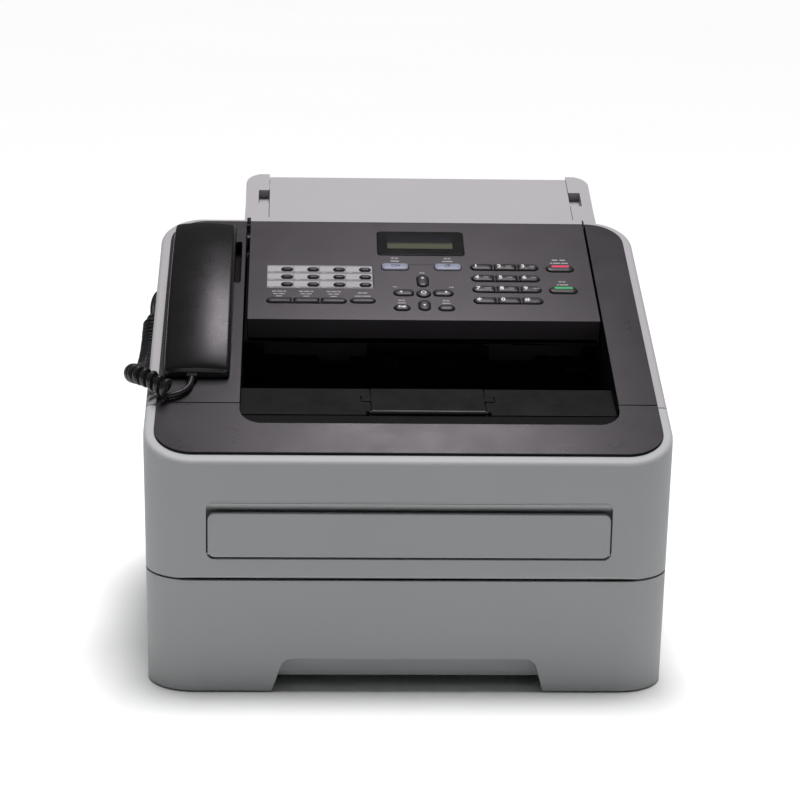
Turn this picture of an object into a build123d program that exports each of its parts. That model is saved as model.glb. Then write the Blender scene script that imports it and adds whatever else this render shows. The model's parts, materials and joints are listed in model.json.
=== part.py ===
from build123d import *
import os
from math import cos, sin, tan, radians

# Desktop laser fax machine with a curly-cord handset.
# Millimetres.  +X right, +Y rear, +Z up.  Origin: centre of the footprint, on
# the surface that the rubber feet stand on.

os.makedirs("parts", exist_ok=True)

# ------------------------------------------------------------ driving sizes
HALF_W = 184.0        # half the overall width
Y_FRONT = -180.0      # front face at the top front edge
Y_REAR = 172.0        # rear wall of the lower body
Y_UPPER = 116.0       # rear edge of the top rim
Z_FRONT = 167.0       # height of the top front edge
TOP_SLOPE = 22.0      # tilt of the whole top deck
R_FRONT = 36.0        # vertical front corners
R_REAR = 32.0         # vertical rear corners
DRAFT = 0.674         # the lower walls lean in going down
WALL = 2.8            # case wall
Z_SEAM = 82.0         # top of the cassette front
Y_SEAM = -119.0       # seam between front covers and main case
RIM = 8.5             # width of the pale rim round the dark trim
OPEN_L, OPEN_R = -117.9, 149.0      # side edges of the output opening
PANEL_L, PANEL_R = -115.0, 147.5    # control panel
PANEL_U0, PANEL_U1 = 172.0, 310.5   # panel front and rear edge of its box (along slope)
HINGE_U, HINGE_W = 311.5, -3.2      # panel hinge axis (along slope, square to it)
TAIL_L, TAIL_R, TAIL_U = -119.6, 158.9, 388.3
FLAP_L, FLAP_R = -100.7, 140.9
KEY_TRAVEL = 1.0
CORD_D = 4.2          # handset cord
COIL_D = 14.0         # outer diameter of its curl

SA, CA = sin(radians(TOP_SLOPE)), cos(radians(TOP_SLOPE))
# slope plane: local x = X, local y = u (up the slope from the front edge),
# local z = w (square to the slope)
SLOPE = Plane(origin=(0, Y_FRONT, Z_FRONT), x_dir=(1, 0, 0), z_dir=(0, -SA, CA))


def along(x):
    """Plane square to X holding (u, w) coordinates."""
    return Plane(origin=(x, Y_FRONT, Z_FRONT), x_dir=(0, CA, SA), z_dir=(1, 0, 0))


def upright(x):
    """Plane square to X holding (Y, Z) coordinates."""
    return Plane(origin=(x, 0, 0), x_dir=(0, 1, 0), z_dir=(1, 0, 0))


def pt(x, u, w):
    """(X, u, w) to (X, Y, Z)."""
    return (x, Y_FRONT + u * CA - w * SA, Z_FRONT + u * SA + w * CA)


def rect(x0, y0, x1, y1, mode=Mode.ADD):
    with Locations(((x0 + x1) / 2, (y0 + y1) / 2)):
        Rectangle(x1 - x0, y1 - y0, mode=mode)


def rrect(x0, y0, x1, y1, r, mode=Mode.ADD):
    r = min(r, (x1 - x0) / 2 - 0.01, (y1 - y0) / 2 - 0.01)
    with Locations(((x0 + x1) / 2, (y0 + y1) / 2)):
        RectangleRounded(x1 - x0, y1 - y0, r, mode=mode)


def block(x0, x1, y0, y1, z0, z1, mode=Mode.ADD):
    with Locations(((x0 + x1) / 2, (y0 + y1) / 2, (z0 + z1) / 2)):
        Box(x1 - x0, y1 - y0, z1 - z0, mode=mode)


def brick(x0, x1, y0, y1, z0, z1):
    """Free-standing block, for making forms outside a part."""
    return Pos((x0 + x1) / 2, (y0 + y1) / 2, (z0 + z1) / 2) * Box(x1 - x0, y1 - y0, z1 - z0)


def slab(x0, x1, u0, u1, w0, w1, r=0.0, mode=Mode.ADD):
    """Block lying in slope coordinates."""
    with BuildSketch(SLOPE.offset(w0)) as face:
        if r:
            rrect(x0, u0, x1, u1, r)
        else:
            rect(x0, u0, x1, u1)
    return extrude(face.sketch, amount=w1 - w0, mode=mode)


def rod(x0, x1, u, w, r, mode=Mode.ADD):
    """Round bar along X at slope coordinates (u, w)."""
    with BuildSketch(along(x0)) as face:
        with Locations((u, w)):
            Circle(r)
    return extrude(face.sketch, amount=x1 - x0, mode=mode)


def bar(x0, x1, y, z, r, mode=Mode.ADD):
    """Round bar along X at (Y, Z)."""
    with BuildSketch(upright(x0)) as face:
        with Locations((y, z)):
            Circle(r)
    return extrude(face.sketch, amount=x1 - x0, mode=mode)


def prism(x0, x1, pts, plane=along, mode=Mode.ADD):
    """Polygon in a plane square to X, drawn out along X."""
    with BuildSketch(plane(x0)) as face:
        Polygon(*pts, align=None)
    return extrude(face.sketch, amount=x1 - x0, mode=mode)


def outline(inset, y_rear):
    """Plan outline of the body with round corners."""
    x, y0, y1 = HALF_W - inset, Y_FRONT + inset, y_rear - inset
    a, b = R_FRONT - inset, R_REAR - inset
    with BuildLine() as edge:
        Line((-x + a, y0), (x - a, y0))
        RadiusArc((x - a, y0), (x, y0 + a), -a)
        Line((x, y0 + a), (x, y1 - b))
        RadiusArc((x, y1 - b), (x - b, y1), -b)
        Line((x - b, y1), (-x + b, y1))
        RadiusArc((-x + b, y1), (-x, y1 - b), -b)
        Line((-x, y1 - b), (-x, y0 + a))
        RadiusArc((-x, y0 + a), (-x + a, y0), -a)
    make_face(edge.edges())


UP = Axis((0, Y_FRONT, Z_FRONT), (0, -SA, CA))     # square to the slope


def body(inset=0.0, low=0.0, top=0.0, soft=0.0):
    """The whole body as one closed form, less an inset, cut off at slope
    height top, from height low up."""
    with BuildSketch(Plane.XY.offset(Z_FRONT)) as at_front:
        outline(inset, Y_REAR)
    with BuildSketch(Plane.XY.offset(200)) as at_waist:
        outline(inset, Y_REAR)
    with BuildSketch(Plane.XY.offset(268)) as at_shoulder:
        outline(inset, Y_UPPER)
    with BuildPart() as form:
        extrude(at_front.sketch, amount=-(Z_FRONT - low), taper=DRAFT)
        extrude(at_front.sketch, amount=33)
        loft([at_waist.sketch.face(), at_shoulder.sketch.face()], ruled=True)
        extrude(at_shoulder.sketch, amount=60)
        split(bisect_by=SLOPE.offset(top), keep=Keep.BOTTOM)
        if soft:
            fillet(form.faces().sort_by(UP)[-1].edges(), soft)
    return form.part


outer = body(0.0, low=0.0, soft=3.0)
inner = body(WALL, low=-4.0, top=8.0)
mid = body(1.2, low=-4.0, top=8.0)

# --------------------------------------------------------------- main case
# paper deck over the cassette, inner walls of the cassette bay, side floors
inside = mid & (
    brick(-200, 200, -112, 200, 79.8, 82.4)
    + brick(-138.6, -136, Y_SEAM + 0.1, 200, 2, 81)
    + brick(136, 138.6, Y_SEAM + 0.1, 200, 2, 81)
    + brick(-200, -136.5, Y_SEAM + 0.1, 200, 2, 4.5)
    + brick(136.5, 200, Y_SEAM + 0.1, 200, 2, 4.5)
    + brick(-200, -136.5, Y_SEAM + 0.1, Y_SEAM + 2.6, 2, 82.4)
    + brick(136.5, 200, Y_SEAM + 0.1, Y_SEAM + 2.6, 2, 82.4))

with BuildPart() as main_housing:
    add(outer)
    add(inner, mode=Mode.SUBTRACT)
    add(inside)
    split(bisect_by=Plane(origin=(0, Y_SEAM + 0.1, 0), z_dir=(0, 1, 0)), keep=Keep.TOP)
    split(bisect_by=SLOPE.offset(-12.2), keep=Keep.BOTTOM)
    split(bisect_by=Plane.XY.offset(2), keep=Keep.TOP)
    # seat for the rear beam of the top cover
    slab(-190, 190, 298.5, 360, -24.4, 10, mode=Mode.SUBTRACT)
    # opening for the rear cover
    with BuildSketch(Plane.XZ.offset(-160)):
        rrect(-120, 95, 120, 185, 3.5)
    extrude(amount=-20, mode=Mode.SUBTRACT)
    # bearings for the rear cover's pins
    block(-124.5, -120.3, 165.9, 170.2, 97, 102.6)
    block(120.3, 124.5, 165.9, 170.2, 97, 102.6)
    bar(-123, -118, 169, 99.8, 1.28, mode=Mode.SUBTRACT)
    bar(118, 123, 169, 99.8, 1.28, mode=Mode.SUBTRACT)
    # window in the deck and ears for the pick-up roller
    block(-24, 24, -110, -80, 78, 84, mode=Mode.SUBTRACT)
    for s in (-1, 1):
        block(27.5 * s - 1.5, 27.5 * s + 1.5, -104, -88, 66, 81)
    bar(-30, 30, -96, 74, 3.06, mode=Mode.SUBTRACT)
    # arms that carry the front cover's pivots
    for s in (-1, 1):
        x0 = 150 * s - 1.5
        prism(x0, x0 + 3, [(-173.0, 87.17), (-165.6, 92.4), (-104, 92.4), (-104, 97.6), (-166.8, 97.6),
                           (-176.0, 91.43)], plane=upright)
        bar(x0, x0 + 3, -174.5, 89.3, 2.6)
        block(x0 - 2, x0 + 5, -111.5, -100, 80, 99)
    bar(-153, -147, -174.5, 89.3, 1.56, mode=Mode.SUBTRACT)
    bar(147, 153, -174.5, 89.3, 1.56, mode=Mode.SUBTRACT)
    # handset jack in the left wall, line jack and inlet openings in the rear wall
    with BuildSketch(Plane.YZ.offset(-190)):
        with Locations((114, 227)):
            Circle(CORD_D / 2 + 0.15)
    extrude(amount=12, mode=Mode.SUBTRACT)
    with BuildSketch(Plane.XZ.offset(-160)):
        rect(-158, 40, -144, 52)
        rect(-158, 60, -144, 72)
        rrect(128, 34, 152, 54, 2)
    extrude(amount=-20, mode=Mode.SUBTRACT)
    # screw holes in the rear wall and the side floors
    with BuildSketch(Plane.XZ.offset(-160)):
        with Locations((-140, 120), (140, 120), (-140, 176), (140, 176)):
            Circle(1.6)
    extrude(amount=-20, mode=Mode.SUBTRACT)
    # cooling slots in the right wall
    with BuildSketch(Plane.YZ.offset(176)):
        with GridLocations(7, 0, 9, 1):
            with Locations((60, 130)):
                SlotOverall(36, 3, rotation=90)
    extrude(amount=20, mode=Mode.SUBTRACT)

# ------------------------------------------- pale rim and document-tray tail
core = inner & slab(-190, 190, 299.5, 360, -40, -16.5)

with BuildPart() as top_cover:
    add(outer)
    split(bisect_by=SLOPE.offset(-24.0), keep=Keep.TOP)
    split(bisect_by=Plane(origin=(0, Y_SEAM + 0.1, 0), z_dir=(0, 1, 0)), keep=Keep.TOP)
    # arms are 12 deep, the rear beam 24
    slab(-190, 190, -50, 299, -40, -12, mode=Mode.SUBTRACT)
    with BuildSketch(SLOPE.offset(-40)):
        rrect(-176.6, -60, 177.1, 311.0, 28.3)
    extrude(amount=60, mode=Mode.SUBTRACT)
    # hollow the beam from below
    add(core, mode=Mode.SUBTRACT)
    # ledges under the dark trim
    slab(-177.2, -174, 64, 300, -4.2, -1.2)
    slab(174, 177.2, 64, 300, -4.2, -1.2)
    slab(-190, 190, -60, 65.4, -6, 0, mode=Mode.SUBTRACT)
    # tail
    with BuildSketch(SLOPE.offset(-14)):
        rect(TAIL_L, 312, TAIL_R, 350)
        rrect(TAIL_L, 330, TAIL_R, TAIL_U, 14)
    extrude(amount=14)
    split(bisect_by=Plane(origin=(0, -Y_FRONT, 0), z_dir=(0, 1, 0)), keep=Keep.BOTTOM)
    slab(OPEN_L, OPEN_R + 0.2, 280, 319.3, -13.4, 20, mode=Mode.SUBTRACT)
    slab(-101.0, 141.2, 318.0, 400, -11, 20, mode=Mode.SUBTRACT)
    # finger notches beside the document support
    prism(-109.4, -100.9, [(342, -7), (352, -7.5), (362.5, -7), (362.5, 5), (342, 5)], mode=Mode.SUBTRACT)
    prism(141.1, 150.5, [(342, -7), (352, -7.5), (362.5, -7), (362.5, 5), (342, 5)], mode=Mode.SUBTRACT)
    # pivot holes of the document support and of the control panel
    rod(-104.2, -100.5, 382.2, -3.5, 1.67, mode=Mode.SUBTRACT)
    rod(140.7, 144.4, 382.2, -3.5, 1.67, mode=Mode.SUBTRACT)
    slab(-122.4, -118.3, 308.4, 312.4, -6.6, -1.4)
    slab(149.6, 153.8, 308.4, 312.4, -6.6, -1.4)
    rod(-121, -117, HINGE_U, HINGE_W, 1.48, mode=Mode.SUBTRACT)
    rod(148, 152.6, HINGE_U, HINGE_W, 1.48, mode=Mode.SUBTRACT)

# ----------------------------- dark top moulding: side strips, cradle, tray
TRAY = [(-118.6, 183.6), (-79.8, 194.6), (-69, 170), (-52, 162), (0, 165), (22, 178)]


def fl(s, o):
    """(Y, Z) of a point s along the front part of the tray floor and o above it."""
    return (-118.6 + 0.9621 * s - 0.2727 * o, 183.6 + 0.2727 * s + 0.9621 * o)


FLAP_Y, FLAP_Z = fl(4.9, 0.4)       # pivot of the output stop flap

with BuildPart() as top_inner_cover:
    with BuildSketch(SLOPE.offset(-1)):
        rrect(-176.3, 20, 176.8, 310.6, 28)
        rect(OPEN_L, 0, OPEN_R, 330, mode=Mode.SUBTRACT)
        rect(-200, -10, 200, 66.3, mode=Mode.SUBTRACT)
    extrude(amount=3)
    # side walls of the opening
    wall = [(-118.6, 181.2), (-118.6, 191.5), (102, 280.6), (102, 244), (70, 200),
            (54, 172), (24, 166), (0, 161), (-52, 158), (-72, 164), (-82, 190.5)]
    prism(OPEN_L - 2.5, OPEN_L, wall, plane=upright)
    prism(OPEN_R, OPEN_R + 2.5, wall, plane=upright)
    # floor of the output tray
    floor = TRAY + [(y, z - 3.4) for y, z in reversed(TRAY)]
    prism(OPEN_L - 1, OPEN_R + 1, floor, plane=upright)
    # shallow bed for the stop flap, with bearings for its pins
    prism(-25.8, 56.8, [fl(-1, -1.4), fl(41.5, -1.4), fl(41.5, 4), fl(-1, 4)], plane=upright, mode=Mode.SUBTRACT)
    prism(-32.6, 63.6, [fl(21.4, -1.4), fl(29.6, -1.4), fl(29.6, 4), fl(21.4, 4)], plane=upright, mode=Mode.SUBTRACT)
    bar(-25.8, 56.8, FLAP_Y, FLAP_Z, 2.35, mode=Mode.SUBTRACT)
    lug = [fl(2.9, -3.0), fl(2.9, 0.9), fl(3.9, 2.3), fl(5.9, 2.3), fl(8.6, -0.2), fl(8.6, -3.0)]
    prism(-28.4, -26.2, lug, plane=upright)
    prism(57.2, 59.4, lug, plane=upright)
    bar(-29, 60, FLAP_Y, FLAP_Z, 1.28, mode=Mode.SUBTRACT)
    slab(-200, 200, -60, 66.0, -60, 10, mode=Mode.SUBTRACT)
    # rear wall of the tray, above and below the paper exit
    prism(OPEN_L - 1, OPEN_R + 1, [(22, 175.5), (24.5, 175.5), (24.5, 184), (22, 184)], plane=upright)
    prism(OPEN_L - 1, OPEN_R + 1, [(22, 199), (24.5, 199), (24.5, 222.5), (22, 221.5)], plane=upright)
    # handset cradle
    prism(-172, -124, [(92.5, -1), (92.5, -17), (101, -23.5), (150.3, -23.5), (162.3, -8.5),
                       (225.7, -8.5), (237.7, -23.5), (288, -23.5), (295.5, -16), (295.5, -1)])
    prism(-169.5, -126.5, [(95, 3), (95, -15.5), (102, -21), (149, -21), (161, -6),
                           (227, -6), (239, -21), (287, -21), (293, -15), (293, 3)], mode=Mode.SUBTRACT)
    # hook switch hole
    slab(-152.4, -143.6, 189.6, 198.4, -10, 0, mode=Mode.SUBTRACT)
    # finger scoop beside the handset
    slab(-126.6, -119.6, 219, 282, -10, -0.5, r=3)
    slab(-126.0, -121.0, 221, 280, -8, 5, r=2.4, mode=Mode.SUBTRACT)
    # bearing holes of the exit roller and the document feed roller
    bar(OPEN_L - 3, OPEN_L + 1, 37, 187, 3.06, mode=Mode.SUBTRACT)
    bar(OPEN_R - 1, OPEN_R + 3, 37, 187, 3.06, mode=Mode.SUBTRACT)
    rod(OPEN_L - 3, OPEN_L + 1, 268, -27.5, 3.06, mode=Mode.SUBTRACT)
    rod(OPEN_R - 1, OPEN_R + 3, 268, -27.5, 3.06, mode=Mode.SUBTRACT)

# -------------------------------------------------------------- front cover
hollow = body(WALL, low=-4.0, top=-3.4)
pan = mid & brick(-143, 143, -179.0, -168, 93, 142)

with BuildPart() as front_cover:
    add(outer)
    add(hollow, mode=Mode.SUBTRACT)
    split(bisect_by=Plane(origin=(0, Y_SEAM - 0.6, 0), z_dir=(0, 1, 0)), keep=Keep.BOTTOM)
    split(bisect_by=Plane.XY.offset(Z_SEAM + 1.2), keep=Keep.TOP)
    # pocket for the dark trim, and the gap that its ramp drops through
    with BuildSketch(SLOPE.offset(-1.3)):
        rrect(-176.6, RIM - 0.2, 177.1, 200, 27.8)
    extrude(amount=10, mode=Mode.SUBTRACT)
    slab(OPEN_L - 3.2, OPEN_R + 3.2, 38.5, 90, -14, 5, mode=Mode.SUBTRACT)
    # pan of the manual feed slot
    add(pan)
    with BuildSketch(Plane.XZ.offset(171)):
        rrect(-139.5, 97.5, 139.5, 138.5, 5.5)
    extrude(amount=20, mode=Mode.SUBTRACT)
    # sloping top of the recess
    prism(-139.6, 139.6, [(-171.2, 129.5), (-171.2, 139.5), (-179.3, 139.5), (-179.3, 137.2)], plane=upright)
    block(-112, 112, -172, -166, 104, 110, mode=Mode.SUBTRACT)
    bar(-141.8, -137, -177.2, 101.2, 1.3, mode=Mode.SUBTRACT)
    bar(137, 141.8, -177.2, 101.2, 1.3, mode=Mode.SUBTRACT)
    # pivot lugs and pins
    for s in (-1, 1):
        x0 = 146.2 * s - 1.4
        block(x0, x0 + 2.8, -178.2, -171.5, 86.2, 93.0)
        block(150 * s - 2.2, 150 * s + 2.2, -177.6, -172, 86.2, 93.4, mode=Mode.SUBTRACT)
    bar(-151.4, -146, -174.5, 89.3, 1.5)
    bar(146, 151.4, -174.5, 89.3, 1.5)
    # eased lower front edge, so that the cover swings clear of the cassette
    prism(-184, 184, [(-183, 82.5), (-176.9, 82.5), (-176.9, 83.2), (-179.2, 85.4), (-183, 85.4)],
          plane=upright, mode=Mode.SUBTRACT)

# ------------------------------------- dark trim that caps the front cover
dip = slab(OPEN_L, OPEN_R, 42, 140, -20, 20, r=17) & prism(
    OPEN_L - 5, OPEN_R + 5, [(42, 2), (65.6, -8.2), (90, -8.2), (90, 30), (42, 30)])

with BuildPart() as front_cover_trim:
    with BuildSketch(SLOPE.offset(-1)):
        rrect(-176.3, RIM, 176.8, 200, 27.5)
        rect(-200, 65.5, 200, 260, mode=Mode.SUBTRACT)
    extrude(amount=3)
    # ramp down into the output tray
    prism(OPEN_L - 2.2, OPEN_R + 2.2, [(39.2, 1.9), (42.5, 1.9), (65.5, -8.4), (65.5, -10.6), (39.2, -1.0)])
    add(dip, mode=Mode.SUBTRACT)

# -------------------------------------------------------- manual feed cover
with BuildPart() as manual_feed_cover:
    with BuildSketch(Plane.XZ.offset(176.4)):
        rrect(-138.5, 99.0, 138.5, 130.4, 5)
    extrude(amount=3.3)
    fillet(manual_feed_cover.faces().sort_by(Axis.Y)[0].edges(), 0.9)
    bar(-141.4, -137, -177.2, 101.2, 1.2)
    bar(137, 141.4, -177.2, 101.2, 1.2)

# ----------------------------------------------------------- output stop flap
with BuildPart() as output_flap:
    bar(-25.0, 56.0, FLAP_Y, FLAP_Z, 2.0)
    prism(-25.0, 56.0, [fl(4.9, -1.1), fl(39.6, -1.1), fl(39.6, 0.6), fl(4.9, 0.6)], plane=upright)
    prism(-31.8, 62.8, [fl(22, -1.0), fl(29, -1.0), fl(29, 0.3), fl(22, 0.3)], plane=upright)
    bar(-28.2, 59.2, FLAP_Y, FLAP_Z, 1.2)

# ----------------------------------------------------------------- rear cover
with BuildPart() as rear_cover:
    add(outer)
    add(inner, mode=Mode.SUBTRACT)
    with BuildSketch(Plane.XZ.offset(-150)):
        rrect(-119.3, 95.8, 119.3, 184.3, 4.2)
    extrude(amount=-40, mode=Mode.INTERSECT)
    block(-119.2, -114, 167.2, 169.6, 97.8, 101.8)
    block(114, 119.2, 167.2, 169.6, 97.8, 101.8)
    bar(-122.6, -114, 169, 99.8, 1.2)
    bar(114, 122.6, 169, 99.8, 1.2)
    block(-30, 30, 171, 174.4, 176, 179)

# ------------------------------------------------------ rubber feet, screws
with BuildPart() as rubber_feet:
    with BuildSketch(Plane.XY):
        with Locations((-158, -98), (158, -98), (-158, 128), (158, 128)):
            Circle(8)
    extrude(amount=1.95, taper=12)

with BuildPart() as case_screws:
    for x, z in ((-140, 120), (140, 120), (-140, 176), (140, 176)):
        with BuildSketch(Plane.XZ.offset(-172.05)):
            with Locations((x, z)):
                Circle(3.0)
        extrude(amount=-1.8)
        with BuildSketch(Plane.XZ.offset(-164)):
            with Locations((x, z)):
                Circle(1.5)
        extrude(amount=-8.2)
    for x, z in ((-140, 120), (140, 120), (-140, 176), (140, 176)):
        block(x - 2, x + 2, 173, 174, z - 0.4, z + 0.4, mode=Mode.SUBTRACT)
        block(x - 0.4, x + 0.4, 173, 174, z - 2, z + 2, mode=Mode.SUBTRACT)

# ------------------------------------------------------------ paper cassette
with BuildPart() as paper_cassette:
    add(outer)
    add(inner, mode=Mode.SUBTRACT)
    split(bisect_by=Plane(origin=(0, Y_SEAM - 0.6, 0), z_dir=(0, 1, 0)), keep=Keep.BOTTOM)
    split(bisect_by=Plane.XY.offset(Z_SEAM), keep=Keep.BOTTOM)
    split(bisect_by=Plane.XY.offset(1.0), keep=Keep.TOP)
    block(-98, 98, -177.2, -163, 10.6, 30)
    # finger recess in the front
    with BuildSketch(Plane.XZ.offset(166)):
        with BuildLine():
            Polyline((-95.3, -2), (-86.0, 24.8), (88.6, 24.8), (96.0, -2), (-95.3, -2))
        make_face()
        fillet(vertices().group_by(Axis.Y)[-1], 8.5)
    extrude(amount=20, mode=Mode.SUBTRACT)
    # tray for the paper, open at the top
    block(-132, 132, -165, 152, 8, 68)
    block(-129.5, 129.5, -162.5, 149.5, 10.5, 80, mode=Mode.SUBTRACT)
    block(-128, 128, -177.6, -162.6, 60, 62.5)
    # notches in the tray's front and rear walls for the pick-up roller
    block(-36, 36, -170, -155, 56, 80, mode=Mode.SUBTRACT)
    block(-36, 36, 145, 160, 56, 80, mode=Mode.SUBTRACT)

with BuildPart() as paper_lift_plate:
    block(-98, 98, -150, 18, 12.2, 13.8)
    bar(-98, 98, 18, 13.6, 2.0)
    block(-30, 30, -148, -128, 13.8, 14.8)

with BuildPart() as paper_guide_left:
    block(-111, -108.5, 26, 112, 12, 52)
    block(-124, -108.5, 54, 88, 12, 14)

with BuildPart() as paper_guide_right:
    block(108.5, 111, 26, 112, 12, 52)
    block(108.5, 124, 54, 88, 12, 14)

# --------------------------------------------------------------- key layout
# name: x0, u0, x1, u1, radius at the left end, radius at the right end
KEYS = {}
ROWS = {245.2: ("1", "2", "3"), 229.4: ("4", "5", "6"), 214.1: ("7", "8", "9"), 198.6: ("star", "0", "hash")}
for uc, names in ROWS.items():
    KEYS["key_" + names[0]] = (54.9, uc - 4.1, 71.3, uc + 4.1, 4.0, 0.8)
    KEYS["key_" + names[1]] = (73.2, uc - 4.1, 89.5, uc + 4.1, 0.8, 0.8)
    KEYS["key_" + names[2]] = (91.4, uc - 4.1, 106.8, uc + 4.1, 0.8, 4.0)
KEYS.update({
    "hold_key": (-101.0, 193.6, -82.6, 200.2, 3.2, 0.8),
    "redial_key": (-80.6, 193.6, -62.0, 200.2, 0.8, 0.8),
    "fax_auto_key": (-60.0, 193.6, -41.4, 200.2, 0.8, 3.2),
    "copy_options_key": (-38.1, 194.0, -19.7, 200.6, 3.2, 3.2),
    "fax_mode_key": (-13.3, 240.4, 6.9, 249.4, 3.0, 3.0),
    "copy_mode_key": (27.3, 240.4, 47.5, 249.4, 3.0, 3.0),
    "up_key": (13.0, 217.2, 21.4, 233.2, 4.1, 4.1),
    "down_key": (13.0, 184.6, 21.4, 198.2, 4.1, 4.1),
    "left_key": (-5.2, 204.4, 9.4, 212.6, 4.0, 2.6),
    "right_key": (25.0, 204.4, 39.6, 212.6, 2.6, 4.0),
    "ok_key": (12.1, 202.4, 22.3, 212.6, 5.0, 5.0),
    "clear_key": (-5.6, 184.4, 6.2, 191.8, 3.6, 3.6),
    "menu_key": (27.8, 184.4, 39.6, 191.8, 3.6, 3.6),
    "stop_key": (113.1, 239.6, 134.1, 248.0, 4.0, 4.0),
    "start_key": (113.1, 209.2, 134.1, 217.6, 4.0, 4.0),
})
ONE_TOUCH = [(x - 4.2, u - 2.6, x + 4.2, u + 2.6, 2.4, 2.4)
             for u in (240.8, 230.2, 219.6) for x in (-85.9, -66.0, -46.2, -26.4)]


def key_outline(k, grow=0.0, mode=Mode.ADD):
    x0, u0, x1, u1, ra, rb = k
    x0, u0, x1, u1 = x0 - grow, u0 - grow, x1 + grow, u1 + grow
    lim = (u1 - u0) / 2 - 0.02
    ra, rb, xm = min(ra + grow, lim, (x1 - x0) / 2 - 0.02), min(rb + grow, lim, (x1 - x0) / 2 - 0.02), (x0 + x1) / 2
    with BuildLine() as edge:
        Line((xm, u0), (x1 - rb, u0))
        RadiusArc((x1 - rb, u0), (x1, u0 + rb), -rb)
        Line((x1, u0 + rb), (x1, u1 - rb))
        RadiusArc((x1, u1 - rb), (x1 - rb, u1), -rb)
        Line((x1 - rb, u1), (x0 + ra, u1))
        RadiusArc((x0 + ra, u1), (x0, u1 - ra), -ra)
        Line((x0, u1 - ra), (x0, u0 + ra))
        RadiusArc((x0, u0 + ra), (x0 + ra, u0), -ra)
        Line((x0 + ra, u0), (xm, u0))
    make_face(edge.edges(), mode=mode)


# ------------------------------------------------------------ control panel
with BuildPart() as control_panel_case:
    slab(PANEL_L, PANEL_R, PANEL_U0, PANEL_U1, -15, 2)
    prism(PANEL_L, PANEL_R, [(303.5, -9), (317.3, -9), (317.3, 1.0), (317.0, 1.7), (316.3, 2), (303.5, 2)])
    slab(PANEL_L + 2.5, PANEL_R - 2.5, PANEL_U0 + 2.5, PANEL_U1 - 10, -20, -1, mode=Mode.SUBTRACT)
    slab(PANEL_L - 1, PANEL_R + 1, PANEL_U1 - 8, PANEL_U1 + 10, -16, -9, mode=Mode.SUBTRACT)
    # key openings
    for k in KEYS.values():
        with BuildSketch(SLOPE.offset(-2)):
            key_outline(k, 0.35)
        extrude(amount=6, mode=Mode.SUBTRACT)
    for k in ONE_TOUCH:
        with BuildSketch(SLOPE.offset(-2)):
            key_outline(k, 0.35)
        extrude(amount=6, mode=Mode.SUBTRACT)
    # recesses for the display window and the name card
    slab(-16.2, 51.4, 261.6, 296.9, 0.8, 4, r=3.4, mode=Mode.SUBTRACT)
    slab(-101.4, -20.4, 214.6, 247.4, 1.3, 4, r=1.5, mode=Mode.SUBTRACT)
    rod(-120.5, -110, HINGE_U, HINGE_W, 1.4)
    rod(142, 152.2, HINGE_U, HINGE_W, 1.4)

with BuildPart() as lcd_window:
    slab(-15.9, 51.1, 261.9, 296.6, 0.9, 2.5, r=3.2)
    fillet(lcd_window.faces().sort_by(UP)[-1].edges(), 0.5)


def key_cap(k):
    """A key: flange below the panel, cap standing above it."""
    with BuildPart() as cap:
        with BuildSketch(SLOPE.offset(-1.6)):
            key_outline(k)
        extrude(amount=5.0)
        fillet(cap.faces().sort_by(UP)[-1].edges(), 0.55)
        with BuildSketch(SLOPE.offset(-3.0)):
            key_outline(k, 0.8)
        extrude(amount=1.5)
    return cap.part


caps = {name: key_cap(k) for name, k in KEYS.items()}

with BuildPart() as one_touch_keys:
    for k in ONE_TOUCH:
        with BuildSketch(SLOPE.offset(-1.6)):
            key_outline(k)
        extrude(amount=4.6)
        with BuildSketch(SLOPE.offset(-3.0)):
            key_outline(k, 0.8)
        extrude(amount=1.5)

# ------------------------------------------ document support and its guides
with BuildPart() as document_support:
    slab(FLAP_L, FLAP_R, 319.8, 382.2, -2.7, 0)
    rod(FLAP_L, FLAP_R, 382.2, -3.5, 3.5)
    rod(-103.9, -98, 382.2, -3.5, 1.6)
    rod(138, 144.1, 382.2, -3.5, 1.6)

with BuildPart() as document_guide_left:
    slab(-88.0, -85.5, 330, 370, -10.4, -3.6)
    slab(-99.0, -85.5, 338, 362, -10.4, -9.0)

with BuildPart() as document_guide_right:
    slab(125.5, 128.0, 330, 370, -10.4, -3.6)
    slab(125.5, 139.0, 338, 362, -10.4, -9.0)

# -------------------------------------------- document path under the panel
with BuildPart() as document_chute:
    slab(-117.5, 148.6, 177.5, 298, -23.5, -21)
    with BuildSketch(Plane.XZ.offset(5.6)):
        Polygon((-110.9, 214.3), (-102.8, 214.0), (-102.3, 203.6), (-63, 202.8), (-60, 198.9), (-39.7, 198.8),
                (-37.5, 202.6), (-26.2, 202), (-25.7, 214.3), align=None)
        Polygon((66.0, 214.3), (66.2, 203.3), (67.5, 199.6), (97.2, 199.7), (101.6, 203.8), (134.8, 204.0),
                (135.9, 214.3), align=None)
    extrude(amount=2.4)
    block(-117.5, 148.6, -10.4, -5.6, 212.4, 214.3)
    block(-46, -25.5, -14, -9, 212.8, 214.0)
    block(62, 82.5, -14, -9, 212.8, 214.0)
    # slots for the feed roller and the image sensor
    slab(-44, 74, 259, 277, -26, -18, mode=Mode.SUBTRACT)
    slab(-95.4, 125.4, 224.6, 241.4, -26, -18, mode=Mode.SUBTRACT)

with BuildPart() as document_feed_roller:
    rod(OPEN_L - 2, OPEN_R + 2, 268, -27.5, 3.0)
    for x in (-36, 6, 48):
        rod(x, x + 20, 268, -27.5, 8.4)

with BuildPart() as image_sensor:
    slab(-95, 125, 225, 241, -32, -20.4)
    slab(-92, 122, 228, 238, -20.4, -19.6)

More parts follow.
